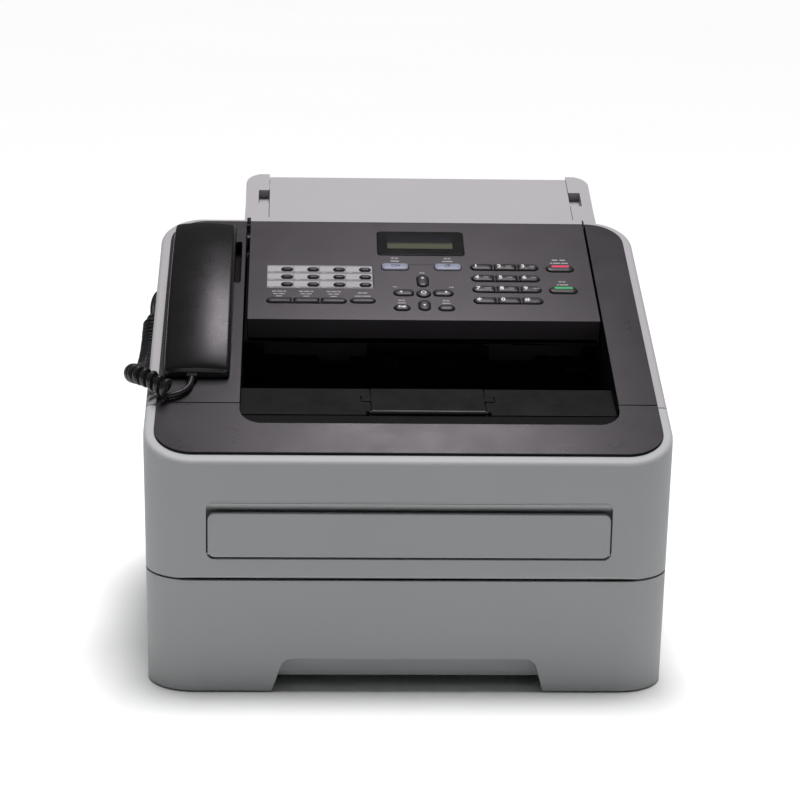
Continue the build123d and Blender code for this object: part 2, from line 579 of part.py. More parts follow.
# ------------------------------------------------------------------ handset
HS_TOP = [(99, 12.2), (118, 16.6), (145, 20.6), (175, 23.2), (205, 24.2), (235, 23.8), (258, 22.0), (272, 19.6),
          (284, 16.0)]
with BuildPart() as handset_outer_shell:
    with BuildSketch(along(-174.5)):
        with BuildLine():
            Line((95, 3.2), (95, 8.4))
            Spline([(95, 8.4)] + HS_TOP, tangents=[(0.35, 1), (0.9, -0.42)])
            ThreePointArc(HS_TOP[-1], (291.3, 12.0), (296.8, 6.4))
            Line((296.8, 6.4), (297, 3.2))
            Line((297, 3.2), (95, 3.2))
        make_face()
    extrude(amount=51)
    with BuildSketch(SLOPE.offset(-5)):
        rrect(-172.4, 95, -125.5, 297, 4)
    extrude(amount=40, mode=Mode.INTERSECT)
    with BuildSketch(along(-170.0)):
        with BuildLine():
            Line((97.4, 3.0), (97.4, 8.0))
            Spline((97.4, 8.0), (119, 14.0), (146, 18.0), (175, 20.6), (205, 21.6), (234, 21.2), (257, 19.4),
                   (270, 17.1), (281, 13.8))
            ThreePointArc((281, 13.8), (288.3, 9.9), (293.4, 5.0))
            Line((293.4, 5.0), (293.4, 3.0))
            Line((293.4, 3.0), (97.4, 3.0))
        make_face()
    extrude(amount=42.2, mode=Mode.SUBTRACT)
    # socket for the cord plug in the front end
    slab(-156.4, -148.6, 90, 100, 3.0, 7.9, mode=Mode.SUBTRACT)

with BuildPart() as handset_inner_shell:
    prism(-168, -128, [(97, 3.1), (97, -14), (103, -19), (148, -19), (160, -4), (228, -4), (240, -19),
                       (285, -19), (291, -13), (291, 3.1)])
    prism(-165.6, -130.4, [(99.6, 5), (99.6, -12.8), (104, -16.6), (147, -16.6), (159, -1.6), (229, -1.6),
                           (241, -16.6), (284, -16.6), (288.6, -12), (288.6, 5)], mode=Mode.SUBTRACT)
    with BuildSketch(SLOPE.offset(-25)):
        for u in (125.5, 262.5):
            with Locations((-148, u)):
                with PolarLocations(7, 6):
                    Circle(1.2)
                Circle(1.2)
    extrude(amount=12, mode=Mode.SUBTRACT)

with BuildPart() as handset_plug:
    slab(-156.2, -148.8, 90.4, 103, 3.4, 7.7)

with BuildPart() as hook_switch:
    slab(-152, -144, 190, 198, -15, -4.5)

# ------------------------------------------------------------- handset cord
def route_radii(pts):
    """Arc radius for each inner point: 0.45 of the shorter run over the
    tangent of half the turn."""
    v = [Vector(*p) for p in pts]
    out = []
    for a, b, c in zip(v, v[1:], v[2:]):
        r1, r2 = b - a, c - b
        out.append(0.45 * min(r1.length, r2.length) / tan(radians(r1.get_angle(r2) / 2)))
    return out


# thin lead from the handset plug to the curl
LEAD_A = [pt(-152.5, 90.2, 5.5), pt(-152.9, 83.0, 5.3), pt(-157.0, 75.5, 5.0), pt(-163.5, 70.5, 5.2), pt(-170.0, 68.8, 7.0)]
# curl: over the rim, then along the left wall
COIL = [(-167.5, -119.5, 202.4), (-179.5, -109.5, 207.6), (-193.6, -97.0, 208.6), (-195.6, -72.0, 203.4),
        (-192.6, -38.0, 194.4), (-192.2, 2.0, 188.6), (-192.2, 42.0, 190.0), (-192.4, 76.0, 199.5),
        (-192.4, 98.0, 212.5)]
# thin lead from the curl into the wall jack
LEAD_B = [(-192.4, 96.1, 211.4), (-192.6, 103.6, 217.4), (-191.0, 110.0, 223.6), (-187.2, 114.0, 227.0),
          (-181.6, 114.0, 227.0)]


def tube(pts, dia):
    rad = route_radii(pts)
    with BuildPart() as piece:
        with BuildLine() as path:
            FilletPolyline(*pts, radius=rad)
        with BuildSketch(Plane(origin=path.wire() @ 0, z_dir=path.wire() % 0)):
            Circle(dia / 2)
        sweep()
    print("tube", dia, "radii", [round(r, 1) for r in rad], "length", round(path.wire().length, 1),
          "volume", round(piece.part.volume, 1), "expected", round(3.14159265 * dia * dia / 4 * path.wire().length, 1))
    return piece.part


lead_a, coil, lead_b = tube(LEAD_A, CORD_D), tube(COIL, COIL_D), tube(LEAD_B, CORD_D)
with BuildPart() as handset_cord:
    add(coil)
    add(lead_a)
    add(lead_b)

# ------------------------------------------------------------ inner workings
with BuildPart() as drum_unit:
    prism(-124, 124, [(-104, 88), (28, 88), (34, 96), (34, 112), (-30, 118), (-104, 118)], plane=upright)
    bar(-122, 122, 10, 99, 12)
    block(-60, 60, -110, -103, 98, 112)

with BuildPart() as toner_cartridge:
    prism(-116, 116, [(-102, 119), (-34, 119), (-26, 126), (-26, 146), (-40, 154), (-92, 154), (-102, 146)],
          plane=upright)
    block(-30, 30, -110, -101, 130, 142)

with BuildPart() as exit_roller:
    bar(OPEN_L - 2, OPEN_R + 2, 37, 187, 3.0)
    for x in (-84, -14, 32, 102):
        bar(x, x + 14, 37, 187, 8.0)

with BuildPart() as pickup_roller:
    bar(-31, 31, -96, 74, 3.0)
    bar(-20, 20, -96, 74, 10.0)

with BuildPart() as main_board:
    block(150, 151.6, -70, 120, 88, 150)
    block(144, 150, -40, -10, 104, 134)
    block(146, 150, 20, 60, 112, 140)
    block(140, 150, 80, 112, 98, 118)

# ------------------------------------------------------------------- export
named = {
    "main_housing": main_housing, "top_cover": top_cover, "top_inner_cover": top_inner_cover,
    "front_cover": front_cover, "front_cover_trim": front_cover_trim, "manual_feed_cover": manual_feed_cover,
    "output_flap": output_flap, "rear_cover": rear_cover, "rubber_feet": rubber_feet, "case_screws": case_screws,
    "paper_cassette": paper_cassette, "paper_lift_plate": paper_lift_plate, "paper_guide_left": paper_guide_left,
    "paper_guide_right": paper_guide_right, "control_panel_case": control_panel_case, "lcd_window": lcd_window,
    "one_touch_keys": one_touch_keys, "document_support": document_support,
    "document_guide_left": document_guide_left, "document_guide_right": document_guide_right,
    "document_chute": document_chute, "document_feed_roller": document_feed_roller, "image_sensor": image_sensor,
    "handset_outer_shell": handset_outer_shell, "handset_inner_shell": handset_inner_shell,
    "handset_plug": handset_plug, "hook_switch": hook_switch, "handset_cord": handset_cord,
    "drum_unit": drum_unit, "toner_cartridge": toner_cartridge, "exit_roller": exit_roller,
    "pickup_roller": pickup_roller, "main_board": main_board,
}
for label, builder in named.items():
    builder.part.label = label
    export_step(builder.part, f"parts/{label}.step")
for label, part in caps.items():
    part.label = label
    export_step(part, f"parts/{label}.step")
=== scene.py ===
import json
import math

import bmesh
import bpy
from mathutils import Matrix, Vector
from mathutils.geometry import tessellate_polygon

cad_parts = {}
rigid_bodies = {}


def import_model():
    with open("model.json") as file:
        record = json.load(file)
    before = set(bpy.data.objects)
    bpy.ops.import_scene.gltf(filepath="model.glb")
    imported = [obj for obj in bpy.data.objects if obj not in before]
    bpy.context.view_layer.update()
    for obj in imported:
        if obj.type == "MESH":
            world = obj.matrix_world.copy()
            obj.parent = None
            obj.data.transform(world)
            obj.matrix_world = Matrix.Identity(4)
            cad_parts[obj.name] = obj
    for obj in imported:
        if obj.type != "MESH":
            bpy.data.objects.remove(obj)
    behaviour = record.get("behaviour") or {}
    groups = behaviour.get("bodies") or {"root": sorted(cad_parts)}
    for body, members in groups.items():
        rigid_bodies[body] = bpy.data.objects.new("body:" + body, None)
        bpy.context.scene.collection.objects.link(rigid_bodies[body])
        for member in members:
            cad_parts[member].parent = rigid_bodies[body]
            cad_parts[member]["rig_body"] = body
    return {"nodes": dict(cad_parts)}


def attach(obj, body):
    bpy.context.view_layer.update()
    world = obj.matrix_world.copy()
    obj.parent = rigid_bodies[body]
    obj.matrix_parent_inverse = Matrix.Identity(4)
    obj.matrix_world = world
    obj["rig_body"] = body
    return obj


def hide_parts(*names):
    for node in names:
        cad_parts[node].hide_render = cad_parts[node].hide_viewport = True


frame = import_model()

scene = bpy.context.scene
nodes = frame["nodes"]
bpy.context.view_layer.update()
MM = 0.001
SA, CA = math.sin(math.radians(22.0)), math.cos(math.radians(22.0))


def S(x, u, w):
    """Point of the sloping top deck: x across, u up the slope, w square to it, in mm."""
    return Vector((x, -180.0 + u * CA - w * SA, 167.0 + u * SA + w * CA)) * MM


SLOPE = Matrix(((1, 0, 0, 0), (0, CA, -SA, -0.180), (0, SA, CA, 0.167), (0, 0, 0, 1)))

# ------------------------------------------------------------------ camera
cam_data = bpy.data.cameras.new("camera")
cam = bpy.data.objects.new("camera", cam_data)
scene.collection.objects.link(cam)
yaw, pitch, roll = 0.03714, 0.24461, 0.015237
F = Vector((math.sin(yaw) * math.cos(pitch), math.cos(yaw) * math.cos(pitch), -math.sin(pitch)))
R = Vector((math.cos(yaw), -math.sin(yaw), 0.0))
U = R.cross(F)
R2 = R * math.cos(roll) + U * math.sin(roll)
U2 = U * math.cos(roll) - R * math.sin(roll)
cam.matrix_world = Matrix((
    (R2.x, U2.x, -F.x, -0.07864),
    (R2.y, U2.y, -F.y, -1.66106),
    (R2.z, U2.z, -F.z, 0.57305),
    (0, 0, 0, 1)))
cam_data.sensor_width = 36.0
cam_data.lens = 2259.36 / 800 * 36.0
cam_data.shift_x = (400 - 377.22) / 800
cam_data.shift_y = (411.07 - 400) / 800
cam_data.clip_start, cam_data.clip_end = 0.05, 60
scene.camera = cam


# --------------------------------------------------------------- materials
def node(nt, kind, **at):
    n = nt.nodes.new(kind)
    for k, v in at.items():
        setattr(n, k, v)
    return n


def plastic(name, rgb, rough=0.45, spec=0.5, mottle=0.04, mottle_size=0.05, rvar=0.06, grain=0.0006, grain_d=1.2e-5,
            scratch=0.0, dust=0.0, coat=0.0, coat_rough=0.15, metallic=0.0, edge=0.0, smudge=0.0):
    """Moulded plastic: slow colour drift, uneven gloss, fine spark-eroded grain, faint handling marks."""
    m = bpy.data.materials.new(name)
    m.use_nodes = True
    nt = m.node_tree
    b = nt.nodes["Principled BSDF"]
    b.inputs["Metallic"].default_value = metallic
    b.inputs["Specular IOR Level"].default_value = spec
    b.inputs["Coat Weight"].default_value = coat
    b.inputs["Coat Roughness"].default_value = coat_rough
    tc = node(nt, "ShaderNodeTexCoord")
    L = nt.links.new
    # colour drift
    n1 = node(nt, "ShaderNodeTexNoise")
    n1.inputs["Scale"].default_value = 1.0 / mottle_size
    n1.inputs["Detail"].default_value = 4
    L(tc.outputs["Object"], n1.inputs["Vector"])
    m1 = node(nt, "ShaderNodeMapRange")
    m1.inputs["From Min"].default_value, m1.inputs["From Max"].default_value = 0.3, 0.7
    m1.inputs["To Min"].default_value, m1.inputs["To Max"].default_value = 1 - mottle, 1 + mottle
    L(n1.outputs["Fac"], m1.inputs["Value"])
    hsv = node(nt, "ShaderNodeHueSaturation")
    hsv.inputs["Color"].default_value = (*rgb, 1)
    L(m1.outputs["Result"], hsv.inputs["Value"])
    colour = hsv.outputs["Color"]
    if dust:
        # fine pale specks and dust film
        nd = node(nt, "ShaderNodeTexNoise")
        nd.inputs["Scale"].default_value = 2600
        nd.inputs["Detail"].default_value = 1
        L(tc.outputs["Object"], nd.inputs["Vector"])
        md = node(nt, "ShaderNodeMapRange")
        md.inputs["From Min"].default_value, md.inputs["From Max"].default_value = 0.66, 0.78
        md.inputs["To Min"].default_value, md.inputs["To Max"].default_value = 0.0, dust
        L(nd.outputs["Fac"], md.inputs["Value"])
        mx = node(nt, "ShaderNodeMix", data_type="RGBA")
        mx.inputs[7].default_value = (0.5, 0.5, 0.5, 1)
        L(md.outputs["Result"], mx.inputs[0])
        L(colour, mx.inputs[6])
        colour = mx.outputs[2]
    if edge:
        # painted edge highlight: pointiness lightens sharp edges
        geo = node(nt, "ShaderNodeNewGeometry")
        me_ = node(nt, "ShaderNodeMapRange")
        me_.inputs["From Min"].default_value, me_.inputs["From Max"].default_value = 0.53, 0.62
        me_.inputs["To Min"].default_value, me_.inputs["To Max"].default_value = 0.0, edge
        L(geo.outputs["Pointiness"], me_.inputs["Value"])
        mw = node(nt, "ShaderNodeMix", data_type="RGBA")
        mw.inputs[7].default_value = (0.6, 0.6, 0.6, 1)
        L(me_.outputs["Result"], mw.inputs[0])
        L(colour, mw.inputs[6])
        colour = mw.outputs[2]
    L(colour, b.inputs["Base Color"])
    # gloss
    n2 = node(nt, "ShaderNodeTexNoise")
    n2.inputs["Scale"].default_value = 38
    n2.inputs["Detail"].default_value = 6
    n2.inputs["Roughness"].default_value = 0.6
    L(tc.outputs["Object"], n2.inputs["Vector"])
    m2 = node(nt, "ShaderNodeMapRange")
    m2.inputs["From Min"].default_value, m2.inputs["From Max"].default_value = 0.3, 0.7
    m2.inputs["To Min"].default_value, m2.inputs["To Max"].default_value = rough - rvar, rough + rvar
    L(n2.outputs["Fac"], m2.inputs["Value"])
    gloss = m2.outputs["Result"]
    if smudge:
        ns = node(nt, "ShaderNodeTexNoise")
        ns.inputs["Scale"].default_value = 16
        ns.inputs["Detail"].default_value = 2
        ns.inputs["Distortion"].default_value = 0.6
        L(tc.outputs["Object"], ns.inputs["Vector"])
        ms = node(nt, "ShaderNodeMapRange")
        ms.inputs["From Min"].default_value, ms.inputs["From Max"].default_value = 0.60, 0.72
        ms.inputs["To Min"].default_value, ms.inputs["To Max"].default_value = 0.0, smudge
        L(ns.outputs["Fac"], ms.inputs["Value"])
        ad = node(nt, "ShaderNodeMath", operation="ADD")
        L(gloss, ad.inputs[0])
        L(ms.outputs["Result"], ad.inputs[1])
        gloss = ad.outputs[0]
    L(gloss, b.inputs["Roughness"])
    # grain
    n3 = node(nt, "ShaderNodeTexNoise")
    n3.inputs["Scale"].default_value = 1.0 / grain
    n3.inputs["Detail"].default_value = 2
    L(tc.outputs["Object"], n3.inputs["Vector"])
    bump = node(nt, "ShaderNodeBump")
    bump.inputs["Strength"].default_value = 1.0
    bump.inputs["Distance"].default_value = grain_d
    L(n3.outputs["Fac"], bump.inputs["Height"])
    last = bump.outputs["Normal"]
    if scratch:
        wv = node(nt, "ShaderNodeTexNoise")
        mp = node(nt, "ShaderNodeMapping")
        mp.inputs["Scale"].default_value = (30, 900, 900)
        mp.inputs["Rotation"].default_value = (0, 0, 0.3)
        L(tc.outputs["Object"], mp.inputs["Vector"])
        L(mp.outputs["Vector"], wv.inputs["Vector"])
        wv.inputs["Scale"].default_value = 1.0
        b2 = node(nt, "ShaderNodeBump")
        b2.inputs["Distance"].default_value = scratch
        L(wv.outputs["Fac"], b2.inputs["Height"])
        L(last, b2.inputs["Normal"])
        last = b2.outputs["Normal"]
    L(last, b.inputs["Normal"])
    return m


CASE = plastic("case_grey_plastic", (0.372, 0.386, 0.390), rough=0.52, spec=0.35, mottle=0.018, mottle_size=0.12,
               rvar=0.04, grain=0.0009, grain_d=2.0e-5)
# lighter copy of the case grey for the front cover's upward faces: painted light on the top rim
CASE_TOP_LIT = plastic("case_grey_painted_lit_top", (0.440, 0.442, 0.452), rough=0.50, spec=0.35, mottle=0.018, mottle_size=0.12,
               rvar=0.04, grain=0.0009, grain_d=2.0e-5)
# slightly lighter, pinker copy of the case grey for upward faces: painted light
CASE_RIM_LIT = plastic("case_grey_rim_painted_light", (0.400, 0.388, 0.404), rough=0.48, spec=0.35, mottle=0.018, mottle_size=0.12,
              rvar=0.04, grain=0.0009, grain_d=1.6e-5)
CHAR = plastic("charcoal_satin", (0.030, 0.0268, 0.0302), rough=0.31, spec=0.5, mottle=0.07, mottle_size=0.03,
               rvar=0.05, grain=0.0007, grain_d=1.6e-5, dust=0.04)
PANEL = plastic("panel_satin", (0.041, 0.0365, 0.0412), rough=0.32, spec=0.5, mottle=0.06, mottle_size=0.04,
                rvar=0.04, grain=0.0006, grain_d=1.8e-5, dust=0.03)
BLACK = plastic("black_matt", (0.0070, 0.0070, 0.0072), rough=0.52, spec=0.18, mottle=0.10, mottle_size=0.02,
                rvar=0.08, grain=0.0010, grain_d=3.0e-5, dust=0.06)
GRAINY = plastic("black_grained", (0.0085, 0.0085, 0.0088), rough=0.58, spec=0.14, mottle=0.14, mottle_size=0.006,
                 rvar=0.10, grain=0.0011, grain_d=6.0e-5, dust=0.05)
HAND = plastic("handset_black", (0.0085, 0.0080, 0.0084), rough=0.28, spec=0.45, mottle=0.05, mottle_size=0.05,
               rvar=0.035, grain=0.0005, grain_d=1.0e-5, dust=0.02)
CORD = plastic("cord_pvc", (0.016, 0.016, 0.0165), rough=0.30, spec=0.5, mottle=0.10, mottle_size=0.01,
               rvar=0.06, grain=0.0008, grain_d=1.5e-5, dust=0.03)
KEYB = plastic("key_black", (0.020, 0.0195, 0.020), rough=0.34, spec=0.5, mottle=0.08, mottle_size=0.008,
               rvar=0.05, grain=0.0005, grain_d=0.8e-5, dust=0.02)
KEYBLUE = plastic("key_blue_grey", (0.215, 0.232, 0.300), rough=0.36, spec=0.45, mottle=0.03, mottle_size=0.01,
                  rvar=0.04, grain=0.0005, grain_d=0.8e-5)
LEGEND = plastic("legend_white", (0.66, 0.66, 0.66), rough=0.5, spec=0.3, mottle=0.05, mottle_size=0.003, rvar=0.05,
                 grain_d=2e-6)
LEGEND_DIM = plastic("legend_grey", (0.33, 0.325, 0.33), rough=0.5, spec=0.3, mottle=0.08, mottle_size=0.003,
                     rvar=0.05, grain_d=2e-6)
LEGEND_NAVY = plastic("legend_navy", (0.035, 0.045, 0.09), rough=0.5, spec=0.3, mottle=0.05, mottle_size=0.003,
                      rvar=0.05, grain_d=2e-6)
RED = plastic("bar_red", (0.62, 0.045, 0.105), rough=0.35, spec=0.5, mottle=0.06, mottle_size=0.003, grain_d=4e-6)
GREEN = plastic("bar_green", (0.028, 0.34, 0.125), rough=0.35, spec=0.5, mottle=0.06, mottle_size=0.003, grain_d=4e-6)
CARDM = plastic("card_paper", (0.375, 0.360, 0.380), rough=0.6, spec=0.25, mottle=0.03, mottle_size=0.004,
                rvar=0.05, grain=0.0003, grain_d=6e-6)
CARDD = plastic("card_band", (0.205, 0.197, 0.208), rough=0.6, spec=0.25, mottle=0.03, mottle_size=0.004, rvar=0.05,
                grain=0.0003, grain_d=6e-6)
LCDB = plastic("display_bezel", (0.0050, 0.0050, 0.0052), rough=0.20, spec=0.25, mottle=0.05, mottle_size=0.02,
               rvar=0.04, grain=0.0008, grain_d=2e-6, coat=0.08, coat_rough=0.08)
RUBBER = plastic("rubber_dark", (0.022, 0.022, 0.022), rough=0.75, spec=0.3, mottle=0.12, mottle_size=0.004,
                 rvar=0.08, grain=0.0007, grain_d=5e-5, dust=0.08)
STEEL = plastic("zinc_steel", (0.46, 0.46, 0.45), rough=0.34, spec=0.5, metallic=1.0, mottle=0.06, mottle_size=0.01,
                rvar=0.10, grain=0.0012, grain_d=1.5e-5, scratch=8e-6)
GOLD = plastic("contact_gold", (0.75, 0.52, 0.20), rough=0.28, metallic=1.0, mottle=0.05, mottle_size=0.003,
               rvar=0.06, grain_d=4e-6)
BOARD = plastic("board_green", (0.018, 0.095, 0.040), rough=0.42, mottle=0.14, mottle_size=0.003, rvar=0.08,
                grain=0.0015, grain_d=3e-5)
DRUMM = plastic("drum_unit_black", (0.020, 0.021, 0.024), rough=0.44, mottle=0.10, mottle_size=0.01, rvar=0.08,
                grain=0.0009, grain_d=3e-5)
TONER = plastic("toner_dark", (0.030, 0.030, 0.033), rough=0.48, mottle=0.10, mottle_size=0.01, rvar=0.08,
                grain=0.0009, grain_d=3e-5)
PALEROLL = plastic("sensor_grey", (0.05, 0.05, 0.052), rough=0.35, mottle=0.06, mottle_size=0.01, rvar=0.05)

# display: dark upper part is painted shade from the bezel, olive band below, as one gradient down the slope
SCREEN_PAINTED_SHADE = bpy.data.materials.new("display_screen")
SCREEN_PAINTED_SHADE.use_nodes = True
_nt = SCREEN_PAINTED_SHADE.node_tree
_b = _nt.nodes["Principled BSDF"]
_b.inputs["Roughness"].default_value = 0.22
_b.inputs["Specular IOR Level"].default_value = 0.25
_tc = node(_nt, "ShaderNodeTexCoord")
_sx = node(_nt, "ShaderNodeSeparateXYZ")
_nt.links.new(_tc.outputs["Object"], _sx.inputs[0])
_mr = node(_nt, "ShaderNodeMapRange")
zlo, zhi = S(0, 271, 2.5).z, S(0, 289, 2.5).z
_mr.inputs["From Min"].default_value, _mr.inputs["From Max"].default_value = zlo, zhi
_nt.links.new(_sx.outputs["Z"], _mr.inputs["Value"])
_nz = node(_nt, "ShaderNodeTexNoise")
_nz.inputs["Scale"].default_value = 60
_nt.links.new(_tc.outputs["Object"], _nz.inputs["Vector"])
_ma = node(_nt, "ShaderNodeMath", operation="MULTIPLY_ADD")
_ma.inputs[1].default_value = 0.05
_nt.links.new(_nz.outputs["Fac"], _ma.inputs[0])
_nt.links.new(_mr.outputs["Result"], _ma.inputs[2])
_cr = node(_nt, "ShaderNodeValToRGB")
el = _cr.color_ramp.elements
# ramp runs from the olive band up to the painted bezel shade at the top
el[0].position, el[0].color = 0.0, (0.066, 0.072, 0.048, 1)
el[1].position, el[1].color = 1.0, (0.0075, 0.0075, 0.0105, 1)
for pos, col in ((0.36, (0.072, 0.079, 0.052, 1)), (0.47, (0.026, 0.029, 0.022, 1)), (0.58, (0.009, 0.010, 0.012, 1))):
    e_ = el.new(pos)
    e_.color = col
_nt.links.new(_ma.outputs[0], _cr.inputs["Fac"])
_nt.links.new(_cr.outputs["Color"], _b.inputs["Base Color"])


# ------------------------------------------------------------ mesh helpers
def link(ob):
    scene.collection.objects.link(ob)
    return ob


def finish_mesh(bm, name, mat, body, angle=35.0):
    bmesh.ops.recalc_face_normals(bm, faces=bm.faces)
    lim = math.radians(angle)
    for f in bm.faces:
        f.smooth = True
    for e in bm.edges:
        e.smooth = not (len(e.link_faces) == 2 and e.calc_face_angle(0.0) > lim) and len(e.link_faces) == 2
    me = bpy.data.meshes.new(name)
    bm.to_mesh(me)
    bm.free()
    me.materials.append(mat)
    ob = link(bpy.data.objects.new(name, me))
    wn = ob.modifiers.new("even_shading", "WEIGHTED_NORMAL")
    wn.keep_sharp, wn.weight = True, 80
    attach(ob, body)
    return ob


def deck(p):
    """(x, u, w) of a point, in mm."""
    y, z = p.y / MM + 180.0, p.z / MM - 167.0
    return p.x / MM, y * CA + z * SA, -y * SA + z * CA


def add_plate(bm, outline, w0, w1, holes=(), edge=0.0):
    """Flat plate in deck coordinates: outline and holes are (x, u) lists in mm."""
    loops = [outline] + list(holes)
    flat = [[Vector((x, u, 0)) for x, u in lp] for lp in loops]
    tris = tessellate_polygon(flat)
    base = [p for lp in flat for p in lp]
    top, bot = [], []
    for p in base:
        top.append(bm.verts.new(S(p.x, p.y, w1)))
        bot.append(bm.verts.new(S(p.x, p.y, w0)))
    for a, b, c in tris:
        try:
            bm.faces.new((top[a], top[b], top[c]))
            bm.faces.new((bot[c], bot[b], bot[a]))
        except ValueError:
            pass
    k = 0
    for lp in loops:
        n = len(lp)
        for i in range(n):
            a, b = k + i, k + (i + 1) % n
            bm.faces.new((top[a], bot[a], bot[b], top[b]))
        k += n


def rounded(x0, u0, x1, u1, r, n=6, rb=None):
    """Rounded rectangle as (x, u) points; r at the left end and rb at the right end."""
    rb = r if rb is None else rb
    lim = min(u1 - u0, x1 - x0) / 2 - 1e-3
    r, rb = min(r, lim), min(rb, lim)
    out = []
    for cx, cu, rr, a0 in ((x1 - rb, u0 + rb, rb, -90), (x1 - rb, u1 - rb, rb, 0), (x0 + r, u1 - r, r, 90), (x0 + r, u0 + r, r, 180)):
        for i in range(n + 1):
            a = math.radians(a0 + 90.0 * i / n)
            out.append((cx + rr * math.cos(a), cu + rr * math.sin(a)))
    return out


def plates(name, items, mat, body):
    bm = bmesh.new()
    for it in items:
        add_plate(bm, *it)
    return finish_mesh(bm, name, mat, body)


def refine(nodename, mat, bevel=0.0, seg=2, angle=28.0, keep=None, second=None, where=None):
    """A copy of the CAD node with its facets merged, its sharp edges rolled and its shading smoothed."""
    src = nodes[nodename]
    bm = bmesh.new()
    bm.from_mesh(src.data)
    bmesh.ops.remove_doubles(bm, verts=bm.verts, dist=3e-6)
    bmesh.ops.dissolve_limit(bm, angle_limit=math.radians(0.35), use_dissolve_boundaries=False,
                             verts=bm.verts, edges=bm.edges)
    if bevel:
        lim = math.radians(angle)
        edges = [e for e in bm.edges if len(e.link_faces) == 2 and e.calc_face_angle(0.0) > lim
                 and (keep is None or keep(e))]
        bmesh.ops.bevel(bm, geom=edges, offset=bevel, offset_type="OFFSET", segments=seg, profile=0.5,
                        affect="EDGES", clamp_overlap=False, loop_slide=True, miter_outer="SHARP",
                        harden_normals=False)
        bmesh.ops.remove_doubles(bm, verts=bm.verts, dist=2e-6)
    body = src["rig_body"]
    ob = finish_mesh(bm, nodename + "_shell", mat, body, angle=32.0)
    if second:
        ob.data.materials.append(second)
        for poly in ob.data.polygons:
            if where(*deck(poly.center)):
                poly.material_index = 1
    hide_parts(nodename)
    return ob


def paint(nodename, mat):
    ob = nodes[nodename]
    ob.data.materials.clear()
    ob.data.materials.append(mat)
    return ob


# ------------------------------------------------------------ handset cord
CORD_D, COIL_D, PITCH = 4.2, 14.0, 5.0
LEAD_A = [S(-152.5, 90.2, 5.5), S(-152.9, 83.0, 5.3), S(-157.0, 75.5, 5.0), S(-163.5, 70.5, 5.2), S(-170.0, 68.8, 7.0)]
COIL = [Vector(p) * MM for p in (
    (-167.5, -119.5, 202.4), (-179.5, -109.5, 207.6), (-193.6, -97.0, 208.6), (-195.6, -72.0, 203.4),
    (-192.6, -38.0, 194.4), (-192.2, 2.0, 188.6), (-192.2, 42.0, 190.0), (-192.4, 76.0, 199.5),
    (-192.4, 98.0, 212.5))]
LEAD_B = [Vector(p) * MM for p in (
    (-192.4, 96.1, 211.4), (-192.6, 103.6, 217.4), (-191.0, 110.0, 223.6), (-187.2, 114.0, 227.0),
    (-181.6, 114.0, 227.0))]


def nurbs(name, pts, res=12):
    cu = bpy.data.curves.new(name, "CURVE")
    cu.dimensions = "3D"
    sp = cu.splines.new("NURBS")
    sp.points.add(len(pts) - 1)
    for q, p in zip(sp.points, pts):
        q.co = (p[0], p[1], p[2], 1.0)
    sp.order_u = 3
    sp.use_endpoint_u = True
    sp.resolution_u = res
    return link(bpy.data.objects.new(name, cu))


def curve_points(ob):
    """Points along the curve's own spline, in order."""
    dg = bpy.context.evaluated_depsgraph_get()
    me = bpy.data.meshes.new_from_object(ob.evaluated_get(dg), depsgraph=dg)
    pts = [v.co.copy() for v in me.vertices]
    bpy.data.meshes.remove(me)
    return pts


def drop(ob):
    bpy.data.objects.remove(ob, do_unlink=True)


guide = nurbs("guide", COIL, 24)
line = curve_points(guide)
drop(guide)
dist = [0.0]
for a, b in zip(line, line[1:]):
    dist.append(dist[-1] + (b - a).length)
total = dist[-1]


def at(s):
    """Point and direction of the coil's centre line at arc length s."""
    s = max(0.0, min(total, s))
    i = 1
    while i < len(dist) - 1 and dist[i] < s:
        i += 1
    t = (s - dist[i - 1]) / max(1e-9, dist[i] - dist[i - 1])
    return line[i - 1].lerp(line[i], t), (line[i] - line[i - 1]).normalized()


rad = (COIL_D - CORD_D) / 2 * MM
PER_TURN = 14
START = 172.0
helix, s, phase, side_v = [], 0.0, math.radians(START), None
p0, t0 = at(0.0)
side_v = (Vector((0, 0, 1)) - t0 * t0.z).normalized()
prev_t = t0
TAIL_LEN = 16.0 * MM
while s < total - 2.0 * MM:
    p, t = at(s)
    side_v = (side_v - t * side_v.dot(t)).normalized()
    up_v = t.cross(side_v)
    # the curl opens a little where it goes over the rim, and runs out straight at its far end
    open_ = 1.0 + 0.38 * math.exp(-((s / MM - 14.0) / 20.0) ** 2)
    rr = rad * 1.012 * (1.0 + 0.02 * math.sin(s / MM * 0.9))
    left = max(0.0, min(1.0, (total - s) / TAIL_LEN))
    if left < 1.0:
        rr *= left * left * (3.0 - 2.0 * left)
        open_ = 1.0 + 2.4 * (1 - left)
    helix.append(p + (side_v * math.cos(phase) + up_v * math.sin(phase)) * rr)
    phase += 2 * math.pi / PER_TURN
    s += PITCH * MM * open_ / PER_TURN
path_pts = LEAD_A[:-1] + helix + LEAD_B[1:]
cord = nurbs("handset_curly_cord", path_pts, 4)
centre = curve_points(cord)
cord.data.bevel_depth = CORD_D / 2 * MM
cord.data.bevel_resolution = 4
cord.data.use_fill_caps = True
cord.data.materials.append(CORD)
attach(cord, "root")
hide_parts("handset_cord")

# ------------------------------------------------- casings and inner parts
refine("main_housing", CASE, bevel=0.0004)
# top cover in the lighter copy of the case grey: painted light on its upward rims
refine("top_cover", CASE_RIM_LIT, bevel=0.0004)
# faces above w = -2.9 take the lighter copy of the case grey: painted light on the top rim
refine("front_cover", CASE, bevel=0.0004, second=CASE_TOP_LIT, where=lambda x, u, w: w > -2.9)
refine("paper_cassette", CASE, bevel=0.0005)
refine("manual_feed_cover", CASE)
refine("rear_cover", CASE, bevel=0.0004)
# document support in the lighter copy of the case grey: painted light
refine("document_support", CASE_RIM_LIT, bevel=0.0003)
